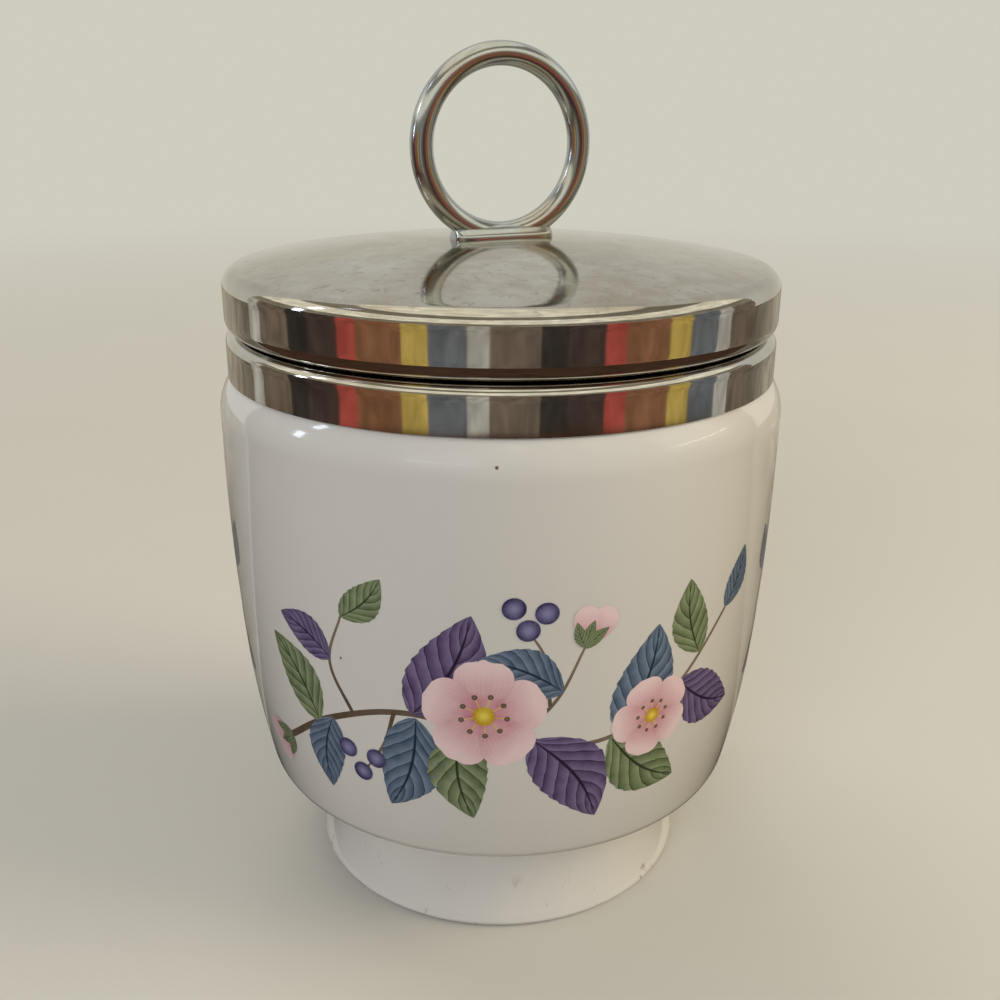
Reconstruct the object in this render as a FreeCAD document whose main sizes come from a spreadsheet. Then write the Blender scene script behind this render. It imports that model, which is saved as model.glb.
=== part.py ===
import FreeCAD, Part
import Sketcher
import math
import os
import re

# Porcelain egg coddler in millimetres. +Z is up and the origin is the centre of the foot.
# A glazed cup carries a pressed metal collar, cemented round its neck. A pressed metal lid
# screws over the collar, and a wire ring, soldered in a saddle on the crown, lifts the whole
# coddler out of the boiling water. The ring lies in the XZ plane.

sizes = {
    # cup, outside
    "belly_radius": 32.55,
    "foot_inset": 9.15,  # from the belly in to the edge of the foot
    "foot_tread": 1.4,  # width of the flat that stands on the table
    "foot_round": 0.8,
    "foot_flare": 1.7,  # from the edge of the foot in to its waist
    "underside_fillet": 3.8,
    "underside_slope": 12.0,  # degrees, rising outwards from the foot
    "heel_inset": 5.55,  # from the belly in to the centre of the heel's round
    "heel_centre_height": 15.8,
    "heel_round": 2.4,
    "flank_draw": 1.1,  # how far the wall has drawn in at the flank
    "flank_rise": 13.2,  # from the centre of the heel's round up to the flank
    "belly_drop": 8.4,  # from the ledge down to the widest place
    "shoulder_round": 6.0,
    "ledge_inset": 1.45,  # from the belly in to the edge of the ledge under the collar
    "ledge_height": 62.4,
    "neck_step": 4.4,  # from the collar in to the neck
    "neck_height": 10.8,  # from the ledge to the rim
    "rim_round": 1.1,
    # cup, inside
    "foot_wall": 2.6,
    "recess_fillet": 2.0,
    "floor_thickness": 4.2,
    "heel_thickness": 2.15,  # upright, from the lowest point of the heel to the floor inside
    "wall_thickness": 3.2,
    "neck_wall": 2.4,
    "bowl_round": 8.0,
    "shoulder_thickness": 3.4,
    "throat_round": 1.6,
    "vault_round": 1.8,
    # collar and cement
    "collar_inset": 1.15,  # from the belly in to the collar
    "collar_sheet": 0.6,
    "collar_seat_gap": 0.1,
    "band_height": 4.9,  # the part of the collar that shows below the lid
    "band_round": 0.9,
    "sleeve_step": 2.1,  # from the collar in to its sleeve
    "sleeve_fillet": 0.5,
    "sleeve_drop": 0.8,  # how far the sleeve stops below the rim
    "cement_drop": 0.5,  # how far the cement stops below the top of the sleeve
    "bond_film": 0.03,  # thickness left between bonded or soldered faces
    # lid
    "lid_sheet": 0.7,
    "lid_gap": 0.3,  # between the collar and the rolled edge of the lid
    "crown_gap": 0.5,  # between the rim of the cup and the crown's edge
    "dome_radius": 172.0,
    "edge_round": 1.9,
    "roll_round": 1.65,  # the skirt's lower edge rolls under by this radius
    "liner_radial_clearance": 0.3,  # from the liner to the sleeve that it turns on
    "liner_gap": 0.15,  # from the liner down to the start of the roll
    "liner_wall": 1.07,
    "liner_rise": 0.35,  # how far the liner reaches above the middle of the lid's edge
    "liner_round": 0.3,
    # saddle and ring
    "saddle_length": 12.0,
    "saddle_width": 4.0,
    "saddle_height": 1.6,  # above the top of the dome
    "saddle_corner": 0.9,
    "saddle_edge": 0.45,
    "saddle_web": 0.45,  # metal left under the ring, above the top of the dome
    "tang_radius": 1.5,
    "tang_clearance": 0.05,
    "rivet_radius": 2.3,
    "rivet_height": 0.6,
    "ring_radius": 9.5,  # to the middle of the wire
    "ring_wire": 2.6,
    "ring_flat": 1.3,  # how much of the wire is filed away where it sits in the saddle
}

doc = FreeCAD.newDocument("EggCoddler")
sheet = doc.addObject("Spreadsheet::Sheet", "Sizes")
for row, (alias, size) in enumerate(sizes.items(), start=1):
    sheet.set(f"A{row}", alias)
    sheet.set(f"B{row}", str(size))
    sheet.setAlias(f"B{row}", alias)
doc.recompute()


# Sizes in an expression are written bare, and get the sheet's name in front for an object
def bound(expression):
    return re.sub(r"[a-z_]+", lambda word: "Sizes." + word[0] if word[0] in sizes else word[0], expression)


def number(expression):
    return float(sheet.evalExpression(expression.lstrip("~")))


def bind(thing, **expressions):
    for name, expression in expressions.items():
        thing.setExpression(name.replace("__", "."), bound(expression))
    return thing


# One corner of a closed outline and the edge that leaves it. A place or radius that starts
# with ~ is only where the solver begins, and tangency decides it. An edge is straight unless
# it bends left or right, and smooth says that it leaves tangent to the edge before.
def corner(across, up, bend=None, radius=None, smooth=False, centre=(None, None)):
    return {"across": across, "up": up, "bend": bend, "radius": radius, "smooth": smooth,
            "centre": centre}


def arc_between(start, end, radius, turns_left):
    chord = end - start
    height = math.sqrt(max(radius ** 2 - chord.Length ** 2 / 4, 0.0))
    leftward = FreeCAD.Vector(-chord.y, chord.x, 0).normalize()
    side = 1 if turns_left else -1
    centre = (start + end) * 0.5 + leftward * (height * side)
    first, last = (start, end) if turns_left else (end, start)
    angles = [math.atan2(point.y - centre.y, point.x - centre.x) for point in (first, last)]
    return Part.ArcOfCircle(Part.Circle(centre, FreeCAD.Vector(0, 0, 1), radius), *angles)


def fix_point(sketch, edge, position, across, up):
    for axis, on_axis, expression in (("DistanceX", -2, across), ("DistanceY", -1, up)):
        if expression is None or expression.startswith("~"):
            continue
        if expression == "0":
            sketch.addConstraint(Sketcher.Constraint("PointOnObject", edge, position, on_axis))
            continue
        rule = Sketcher.Constraint(axis, -1, 1, edge, position, number(expression))
        index = sketch.addConstraint(rule)
        sketch.setExpression(f"Constraints[{index}]", bound(expression))


def draw_outline(sketch, corners):
    places = [FreeCAD.Vector(number(item["across"]), number(item["up"]), 0) for item in corners]
    ends = []
    for index, item in enumerate(corners):
        here = places[index]
        there = places[(index + 1) % len(corners)]
        if item["bend"] is None:
            sketch.addGeometry(Part.LineSegment(here, there))
            ends.append((1, 2))
            continue
        turns_left = item["bend"] == "left"
        radius = max(number(item["radius"]), (there - here).Length / 2)
        sketch.addGeometry(arc_between(here, there, radius, turns_left))
        ends.append((1, 2) if turns_left else (2, 1))
    for index, item in enumerate(corners):
        before = index - 1 if index else len(corners) - 1
        joint = "Tangent" if item["smooth"] else "Coincident"
        rule = Sketcher.Constraint(joint, before, ends[before][1], index, ends[index][0])
        sketch.addConstraint(rule)
        fix_point(sketch, index, ends[index][0], item["across"], item["up"])
        if item["bend"] is None:
            continue
        fix_point(sketch, index, 3, *item["centre"])
        if not item["radius"].startswith("~"):
            rule = sketch.addConstraint(Sketcher.Constraint("Radius", index, number(item["radius"])))
            sketch.setExpression(f"Constraints[{rule}]", bound(item["radius"]))


def sketch_on(body, name, role, offset=None):
    sketch = body.newObject("Sketcher::SketchObject", name)
    plane = next(item for item in body.Origin.OriginFeatures if item.Role == role)
    sketch.AttachmentSupport = [(plane, "")]
    sketch.MapMode = "FlatFace"
    if offset:
        sketch.setExpression("AttachmentOffset.Base.z", bound(offset))
    return sketch


# A piece turned about Z from an outline of (radius, height) corners
def turned(name, corners):
    body = doc.addObject("PartDesign::Body", name)
    profile = sketch_on(body, name + "_profile", "XZ_Plane")
    draw_outline(profile, corners)
    doc.recompute()
    turning = body.newObject("PartDesign::Revolution", name + "_turned")
    turning.Profile = profile
    turning.ReferenceAxis = (profile, ["V_Axis"])
    turning.Angle = 360
    profile.Visibility = False
    return body


# Heights and radii that follow from the driving sizes
foot_radius = "(belly_radius - foot_inset)"
waist_radius = f"({foot_radius} - foot_flare)"
heel_centre_radius = "(belly_radius - heel_inset)"
flank_radius = "(belly_radius - flank_draw)"
flank_height = "(heel_centre_height + flank_rise)"
belly_height = "(ledge_height - belly_drop)"
ledge_radius = "(belly_radius - ledge_inset)"
collar_radius = "(belly_radius - collar_inset)"
neck_radius = f"({collar_radius} - neck_step)"
sleeve_radius = f"({collar_radius} - sleeve_step)"
rim_height = "(ledge_height + neck_height)"
bore_radius = f"({neck_radius} - neck_wall)"
vault_height = "(ledge_height - shoulder_thickness)"
cavity_radius = "(belly_radius - wall_thickness)"
heel_start = f"({heel_centre_radius} + heel_round * sin(underside_slope))"
heel_start_height = "(heel_centre_height - heel_round * cos(underside_slope))"
floor_height = f"({heel_start_height} + heel_thickness)"
recess_height = f"({floor_height} - floor_thickness)"
fillet_end = f"({waist_radius} + underside_fillet * (1 - sin(underside_slope)))"
fillet_end_height = f"({heel_start_height} - ({heel_start} - {fillet_end}) * tan(underside_slope))"
waist_height = f"({fillet_end_height} - underside_fillet * cos(underside_slope))"
flare_rise = f"({waist_height} - foot_round)"
flare_radius = f"((foot_flare^2 + {flare_rise}^2) / (2 * foot_flare))"
belly_rise = f"({belly_height} - {flank_height})"
belly_bend = f"((flank_draw^2 + {belly_rise}^2) / (2 * flank_draw))"
tread_inside = f"({foot_radius} - 2 * foot_round - foot_tread)"
recess_radius = f"({waist_radius} - foot_wall)"
shoulder_fall = "(ledge_height - sqrt(shoulder_round^2 - (shoulder_round - ledge_inset)^2))"

collar_bottom = "(ledge_height + collar_seat_gap)"
collar_top = f"({collar_bottom} + band_height)"
sleeve_top = f"({rim_height} - sleeve_drop)"
band_inside = f"({collar_radius} - collar_sheet)"
sleeve_inside = f"({sleeve_radius} - collar_sheet)"

liner_inside = f"({sleeve_radius} + liner_radial_clearance)"
liner_outside = f"({liner_inside} + liner_wall)"
skirt_inside = f"({liner_outside} + bond_film)"
lid_radius = f"({skirt_inside} + lid_sheet)"
edge_centre = f"({lid_radius} - edge_round)"
roll_height = f"({collar_top} + lid_gap + roll_round)"
edge_height = f"({rim_height} + crown_gap + lid_sheet - edge_round)"
dome_centre = f"({edge_height} - sqrt((dome_radius - edge_round)^2 - {edge_centre}^2))"
dome_top = f"({dome_centre} + dome_radius)"
tang_hole = "(tang_radius + tang_clearance)"
liner_bottom = f"({roll_height} + liner_gap)"
liner_top = f"({edge_height} + liner_rise)"

saddle_seat = f"({dome_top} + saddle_web)"
saddle_top = f"({dome_top} + saddle_height)"
ring_centre = f"({saddle_seat} + ring_radius + ring_wire / 2 - ring_flat)"


# Cup: the foot ring, the flared foot, the heel, the belly, the ledge, the neck and the bowl
cup = turned("cup", [
    corner("0", recess_height),
    corner(f"{recess_radius} - recess_fillet", recess_height, bend="right", radius="recess_fillet"),
    corner(recess_radius, f"{recess_height} - recess_fillet"),
    corner(f"{tread_inside}", "foot_round", bend="left", radius="foot_round"),
    corner(f"{tread_inside} + foot_round", "0"),
    corner(f"{foot_radius} - foot_round", "0", bend="left", radius="foot_round"),
    corner(foot_radius, "foot_round", bend="right", radius=flare_radius),
    corner(waist_radius, waist_height, bend="right", radius="underside_fillet"),
    corner(fillet_end, fillet_end_height),
    corner(heel_start, heel_start_height, bend="left", radius="heel_round", smooth=True),
    corner(f"~{heel_centre_radius} + heel_round", "~heel_centre_height", bend="left",
           radius="~" + belly_bend, smooth=True),
    corner(flank_radius, flank_height, bend="left", radius=belly_bend, smooth=True),
    corner("belly_radius", belly_height),
    corner("belly_radius", shoulder_fall, bend="left", radius="shoulder_round"),
    corner(ledge_radius, "ledge_height"),
    corner(neck_radius, "ledge_height"),
    corner(neck_radius, f"{rim_height} - rim_round", bend="left", radius="rim_round"),
    corner(f"{neck_radius} - rim_round", rim_height),
    corner(f"{bore_radius} + rim_round", rim_height, bend="left", radius="rim_round"),
    corner(bore_radius, f"{rim_height} - rim_round"),
    corner(bore_radius, f"{vault_height} + throat_round", bend="left", radius="throat_round"),
    corner(f"{bore_radius} + throat_round", vault_height),
    corner(f"{cavity_radius} - vault_round", vault_height, bend="right", radius="vault_round"),
    corner(cavity_radius, f"{vault_height} - vault_round"),
    corner(cavity_radius, belly_height, bend="right", radius=f"{belly_bend} - wall_thickness",
           smooth=True),
    corner(f"~{flank_radius} - wall_thickness", flank_height, smooth=True),
    corner(f"~{flank_radius} - wall_thickness - 1", f"~{floor_height} + bowl_round - 1", bend="right",
           radius="bowl_round", smooth=True),
    corner(f"~{cavity_radius} - bowl_round - 1", floor_height, smooth=True),
    corner("0", floor_height),
])

# Collar: a plain band over the ledge, a shoulder, and the sleeve that the lid turns on, drawn
# plain at the crests of its thread
collar = turned("collar", [
    corner(collar_radius, collar_bottom),
    corner(collar_radius, f"{collar_top} - band_round", bend="left", radius="band_round"),
    corner(f"{collar_radius} - band_round", collar_top),
    corner(f"{sleeve_radius} + sleeve_fillet", collar_top, bend="right", radius="sleeve_fillet"),
    corner(sleeve_radius, f"{collar_top} + sleeve_fillet"),
    corner(sleeve_radius, f"{sleeve_top} - collar_sheet / 2", bend="left", radius="collar_sheet / 2"),
    corner(f"{sleeve_radius} - collar_sheet / 2", sleeve_top, bend="left", radius="collar_sheet / 2"),
    corner(sleeve_inside, f"{sleeve_top} - collar_sheet / 2"),
    corner(sleeve_inside, f"{collar_top} + sleeve_fillet", bend="left",
           radius="sleeve_fillet + collar_sheet"),
    corner(f"{sleeve_radius} + sleeve_fillet", f"{collar_top} - collar_sheet"),
    corner(f"{collar_radius} - band_round", f"{collar_top} - collar_sheet", bend="right",
           radius="band_round - collar_sheet"),
    corner(band_inside, f"{collar_top} - band_round"),
    corner(band_inside, collar_bottom),
])

# Cement: fills the space between the collar and the neck
cement = turned("collar_cement", [
    corner(f"{neck_radius} + bond_film", "ledge_height + bond_film"),
    corner(f"{band_inside} - bond_film", "ledge_height + bond_film"),
    corner(f"{band_inside} - bond_film", f"{collar_top} - band_round", bend="left",
           radius="band_round - collar_sheet - bond_film"),
    corner(f"{collar_radius} - band_round", f"{collar_top} - collar_sheet - bond_film"),
    corner(f"{sleeve_radius} + sleeve_fillet", f"{collar_top} - collar_sheet - bond_film", bend="right",
           radius="sleeve_fillet + collar_sheet + bond_film"),
    corner(f"{sleeve_inside} - bond_film", f"{collar_top} + sleeve_fillet"),
    corner(f"{sleeve_inside} - bond_film", f"{sleeve_top} - cement_drop"),
    corner(f"{neck_radius} + bond_film", f"{sleeve_top} - cement_drop"),
])

# Lid: a shallow dome that rolls over into the skirt, and a lower edge rolled under
lid = turned("lid_shell", [
    corner(tang_hole, f"~{dome_top}", bend="right", radius="dome_radius", centre=("0", None)),
    corner(f"~{edge_centre}", f"~{edge_height} + edge_round", bend="right", radius="edge_round",
           smooth=True, centre=(edge_centre, edge_height)),
    corner(f"~{lid_radius}", f"~{edge_height}", smooth=True),
    corner(lid_radius, roll_height, bend="right", radius="roll_round"),
    corner(f"{lid_radius} - roll_round", f"{roll_height} - roll_round"),
    corner(f"{lid_radius} - roll_round", f"{roll_height} - roll_round + lid_sheet", bend="left",
           radius="roll_round - lid_sheet"),
    corner(skirt_inside, roll_height),
    corner(f"~{lid_radius} - lid_sheet", f"~{edge_height}", bend="left", radius="edge_round - lid_sheet",
           smooth=True, centre=(edge_centre, edge_height)),
    corner(f"~{edge_centre}", f"~{edge_height} + edge_round - lid_sheet", bend="left",
           radius="dome_radius - lid_sheet", smooth=True, centre=("0", None)),
    corner(tang_hole, f"~{dome_top} - lid_sheet"),
])

# Liner: the band soldered inside the skirt. Its bore is drawn plain, at the crests of the thread
liner = turned("lid_thread_band", [
    corner(f"{liner_inside} + liner_round", liner_bottom),
    corner(liner_outside, liner_bottom),
    corner(liner_outside, liner_top),
    corner(f"{liner_inside} + liner_round", liner_top, bend="left", radius="liner_round"),
    corner(liner_inside, f"{liner_top} - liner_round"),
    corner(liner_inside, f"{liner_bottom} + liner_round", bend="left", radius="liner_round"),
])


# A wire ring standing on edge, and the box that reaches from below it up to a height
def ring_and_floor(name, wire_radius):
    wire = doc.addObject("Part::Torus", name + "_wire")
    wire.Placement.Rotation = FreeCAD.Rotation(FreeCAD.Vector(1, 0, 0), 90)
    bind(wire, Radius1="ring_radius", Radius2=wire_radius, Placement__Base__z=ring_centre)
    floor = doc.addObject("Part::Box", name + "_floor")
    reach = "(ring_radius + ring_wire)"
    bind(floor, Length=f"2 * {reach}", Width="2 * ring_wire", Height=reach,
         Placement__Base__x=f"-{reach}", Placement__Base__y="-ring_wire",
         Placement__Base__z=f"{saddle_seat} - {reach}")
    upper = doc.addObject("Part::Cut", name)
    upper.Base = wire
    upper.Tool = floor
    return upper


# Ring: round wire, filed flat underneath where it is soldered into the saddle
ring = ring_and_floor("lifting_ring", "ring_wire / 2")

# Saddle: a block with rounded corners, hollowed below to the dome and above to the ring, whose
# tang passes through the crown and is riveted over inside
block = doc.addObject("PartDesign::Body", "saddle_block")
plan = sketch_on(block, "saddle_plan", "XY_Plane", offset=f"{dome_top} - lid_sheet")
half_length = "saddle_length / 2"
half_width = "saddle_width / 2"
draw_outline(plan, [
    corner(f"{half_length} - saddle_corner", f"-{half_width}", bend="left", radius="saddle_corner"),
    corner(half_length, f"-{half_width} + saddle_corner"),
    corner(half_length, f"{half_width} - saddle_corner", bend="left", radius="saddle_corner"),
    corner(f"{half_length} - saddle_corner", half_width),
    corner(f"-{half_length} + saddle_corner", half_width, bend="left", radius="saddle_corner"),
    corner(f"-{half_length}", f"{half_width} - saddle_corner"),
    corner(f"-{half_length}", f"-{half_width} + saddle_corner", bend="left", radius="saddle_corner"),
    corner(f"-{half_length} + saddle_corner", f"-{half_width}"),
])
pad = block.newObject("PartDesign::Pad", "saddle_pad")
pad.Profile = plan
bind(pad, Length="lid_sheet + saddle_height")
doc.recompute()
top_edges = [f"Edge{index}" for index, edge in enumerate(pad.Shape.Edges, start=1)
             if edge.BoundBox.ZMin > pad.Shape.BoundBox.ZMax - 0.001]
rounding = block.newObject("PartDesign::Fillet", "saddle_rounding")
rounding.Base = (pad, top_edges)
bind(rounding, Radius="saddle_edge")

dome = doc.addObject("Part::Sphere", "saddle_dome")
bind(dome, Radius="dome_radius + bond_film", Placement__Base__z=dome_centre)
seated = doc.addObject("Part::Cut", "saddle_seated")
seated.Base = block
seated.Tool = dome
slot = ring_and_floor("saddle_slot", "ring_wire / 2 + bond_film")
slotted = doc.addObject("Part::Cut", "saddle_slotted")
slotted.Base = seated
slotted.Tool = slot

rivet_face = f"({dome_top} - lid_sheet - bond_film)"
tang = doc.addObject("Part::Cylinder", "saddle_tang")
bind(tang, Radius="tang_radius", Height=f"saddle_web / 2 + lid_sheet + bond_film + rivet_height / 2",
     Placement__Base__z=f"{rivet_face} - rivet_height / 2")
rivet = doc.addObject("Part::Cone", "saddle_rivet")
bind(rivet, Radius1="tang_radius", Radius2="rivet_radius", Height="rivet_height",
     Placement__Base__z=f"{rivet_face} - rivet_height")
crown = doc.addObject("Part::Sphere", "rivet_dome")
bind(crown, Radius="dome_radius - lid_sheet - bond_film", Placement__Base__z=dome_centre)
head = doc.addObject("Part::Common", "saddle_head")
head.Base = rivet
head.Tool = crown
saddle = doc.addObject("Part::MultiFuse", "ring_saddle")
saddle.Shapes = [slotted, tang, head]

doc.recompute()

for item in doc.Objects:
    if "Invalid" in item.State or "Error" in item.State:
        raise RuntimeError(f"{item.Name} failed: {item.State}")
for item in doc.Objects:
    if item.TypeId == "Sketcher::SketchObject" and not item.FullyConstrained:
        raise RuntimeError(f"{item.Name} isn't fully constrained")

os.makedirs("parts", exist_ok=True)
for piece in (cup, cement, collar, lid, liner, saddle, ring):
    piece.Label = piece.Name
    if piece.Shape.isNull() or not piece.Shape.isValid():
        raise RuntimeError(f"{piece.Name} has no valid shape")
    box = piece.Shape.BoundBox
    print(f"{piece.Name}: {len(piece.Shape.Solids)} solid, {piece.Shape.Volume:.1f} mm3, "
          f"radius {box.XMax:.2f}, z {box.ZMin:.2f} to {box.ZMax:.2f}")
for piece in (cup, cement, collar, lid, liner, saddle, ring):
    piece.Shape.exportStep(f"parts/{piece.Label}.step")
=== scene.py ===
import math
import random
import bpy
import bmesh
from mathutils import Matrix, Vector


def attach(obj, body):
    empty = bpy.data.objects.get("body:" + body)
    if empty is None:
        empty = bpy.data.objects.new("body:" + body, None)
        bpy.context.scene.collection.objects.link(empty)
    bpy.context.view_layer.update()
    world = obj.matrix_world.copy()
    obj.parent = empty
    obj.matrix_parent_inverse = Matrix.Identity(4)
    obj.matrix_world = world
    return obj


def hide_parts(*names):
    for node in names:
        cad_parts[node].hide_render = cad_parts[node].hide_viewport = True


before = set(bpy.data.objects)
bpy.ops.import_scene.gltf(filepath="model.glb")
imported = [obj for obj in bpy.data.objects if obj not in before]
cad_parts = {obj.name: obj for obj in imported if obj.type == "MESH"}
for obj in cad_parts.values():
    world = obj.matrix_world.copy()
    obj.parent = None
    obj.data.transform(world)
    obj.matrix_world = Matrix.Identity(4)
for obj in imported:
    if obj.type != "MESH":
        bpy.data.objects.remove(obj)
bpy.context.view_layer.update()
millimetre = 0.001


# sRGB hex to the linear colour that a socket takes
def linear(hexColour):
    channels = [int(hexColour[i:i + 2], 16) / 255 for i in (1, 3, 5)]
    return [c / 12.92 if c <= 0.04045 else ((c + 0.055) / 1.055) ** 2.4 for c in channels] + [1.0]


def addNode(tree, kind, settings=None, values=None, links=None):
    node = tree.nodes.new(kind)
    for name, value in (settings or {}).items():
        setattr(node, name, value)
    for socket, value in (values or {}).items():
        node.inputs[socket].default_value = value
    for socket, output in (links or {}).items():
        tree.links.new(output, node.inputs[socket])
    return node


def newMaterial(name):
    material = bpy.data.materials.new(name)
    material.use_nodes = True
    tree = material.node_tree
    return material, tree, tree.nodes["Principled BSDF"]


# A pattern's scale for features of that many millimetres
def perMillimetres(size):
    return 1000.0 / size


# The porcelain: hard paste, glazed and fired. White with a faint warm cast, a wet-looking gloss,
# slow ripples where the glaze ran, and a few dark specks and kiln marks near the foot
glaze = {"body": "#dfdbd2", "thick": "#d6d2c8", "speck": "#6d5a4c", "grime": "#7a5b3c",
         "clouds": 22.0, "ripple": 7.0, "specks": 6.5, "grimeTop": 7.0}


def glazedPorcelain():
    material, tree, shader = newMaterial("porcelain_glazed")
    place = addNode(tree, "ShaderNodeTexCoord").outputs["Object"]
    height = addNode(tree, "ShaderNodeSeparateXYZ", links={0: place}).outputs["Z"]
    clouds = addNode(tree, "ShaderNodeTexNoise",
                     values={"Scale": perMillimetres(glaze["clouds"]), "Detail": 3.0},
                     links={"Vector": place})
    tone = addNode(tree, "ShaderNodeMix", {"data_type": "RGBA"},
                   {6: linear(glaze["body"]), 7: linear(glaze["thick"])}, {0: clouds.outputs["Fac"]})
    cells = addNode(tree, "ShaderNodeTexVoronoi", values={"Scale": perMillimetres(glaze["specks"])},
                    links={"Vector": place})
    nearCell = addNode(tree, "ShaderNodeMapRange", values={1: 0.018, 2: 0.034, 3: 1.0, 4: 0.0},
                       links={0: cells.outputs["Distance"]})
    cellPick = addNode(tree, "ShaderNodeSeparateColor", links={0: cells.outputs["Color"]})
    picked = addNode(tree, "ShaderNodeMath", {"operation": "GREATER_THAN"}, {1: 0.86},
                     {0: cellPick.outputs[0]})
    speck = addNode(tree, "ShaderNodeMath", {"operation": "MULTIPLY"},
                    links={0: nearCell.outputs[0], 1: picked.outputs[0]})
    specked = addNode(tree, "ShaderNodeMix", {"data_type": "RGBA"}, {7: linear(glaze["speck"])},
                      {0: speck.outputs[0], 6: tone.outputs[2]})
    # Brown marks that rubbed on round the foot
    low = addNode(tree, "ShaderNodeMapRange",
                  values={1: 0.0, 2: glaze["grimeTop"] * millimetre, 3: 1.0, 4: 0.0},
                  links={0: height})
    rubs = addNode(tree, "ShaderNodeTexNoise",
                   values={"Scale": perMillimetres(3.2), "Detail": 5.0, "Roughness": 0.7},
                   links={"Vector": place})
    rubbed = addNode(tree, "ShaderNodeMapRange", values={1: 0.61, 2: 0.68, 3: 0.0, 4: 0.75},
                     links={0: rubs.outputs["Fac"]})
    grime = addNode(tree, "ShaderNodeMath", {"operation": "MULTIPLY"},
                    links={0: rubbed.outputs[0], 1: low.outputs[0]})
    colour = addNode(tree, "ShaderNodeMix", {"data_type": "RGBA"}, {7: linear(glaze["grime"])},
                     {0: grime.outputs[0], 6: specked.outputs[2]})
    tree.links.new(colour.outputs[2], shader.inputs["Base Color"])
    gloss = addNode(tree, "ShaderNodeMapRange", values={1: 0.3, 2: 0.7, 3: 0.07, 4: 0.13},
                    links={0: clouds.outputs["Fac"]})
    tree.links.new(gloss.outputs[0], shader.inputs["Roughness"])
    ripple = addNode(tree, "ShaderNodeTexNoise",
                     values={"Scale": perMillimetres(glaze["ripple"]), "Detail": 1.0},
                     links={"Vector": place})
    bump = addNode(tree, "ShaderNodeBump", values={"Strength": 0.25, "Distance": 0.06 * millimetre},
                   links={"Height": ripple.outputs["Fac"]})
    tree.links.new(bump.outputs[0], shader.inputs["Normal"])
    shader.inputs["IOR"].default_value = 1.5
    shader.inputs["Coat Weight"].default_value = 0.6
    shader.inputs["Coat Roughness"].default_value = 0.03
    return material


# The tread of the foot: biscuit porcelain, wiped clean of glaze. Matt, a little sandy and grey with use
tread = {"pale": "#d9d0c4", "deep": "#a39684", "grit": 0.5}


def unglazedPorcelain():
    material, tree, shader = newMaterial("porcelain_biscuit")
    place = addNode(tree, "ShaderNodeTexCoord").outputs["Object"]
    grit = addNode(tree, "ShaderNodeTexNoise", values={"Scale": perMillimetres(tread["grit"]), "Detail": 6.0},
                   links={"Vector": place})
    tone = addNode(tree, "ShaderNodeMix", {"data_type": "RGBA"},
                   {6: linear(tread["pale"]), 7: linear(tread["deep"])}, {0: grit.outputs["Fac"]})
    tree.links.new(tone.outputs[2], shader.inputs["Base Color"])
    bump = addNode(tree, "ShaderNodeBump", values={"Strength": 0.5, "Distance": 0.05 * millimetre},
                   links={"Height": grit.outputs["Fac"]})
    tree.links.new(bump.outputs[0], shader.inputs["Normal"])
    shader.inputs["Roughness"].default_value = 0.8
    return material


# Steel sheet pressed, buffed and chromium plated: a clear cool-grey mirror, a little wavy, with
# finger smears. Where water dried on the crown, a mottled beige haze dulls the mirror
plate = {"metal": "#cfcdc8", "smear": "#b9b4aa", "haze": "#a69d8c", "mark": "#7d7667", "worn": "#b9c1c6",
         "wave": 11.0, "smears": 9.0, "spots": 2.6, "flecks": 1.5, "hazeFrom": 73.4, "hazeFull": 74.6,
         "clear": 0.05, "smeared": 0.09, "hazy": 0.11, "wornDull": 0.12}


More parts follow.
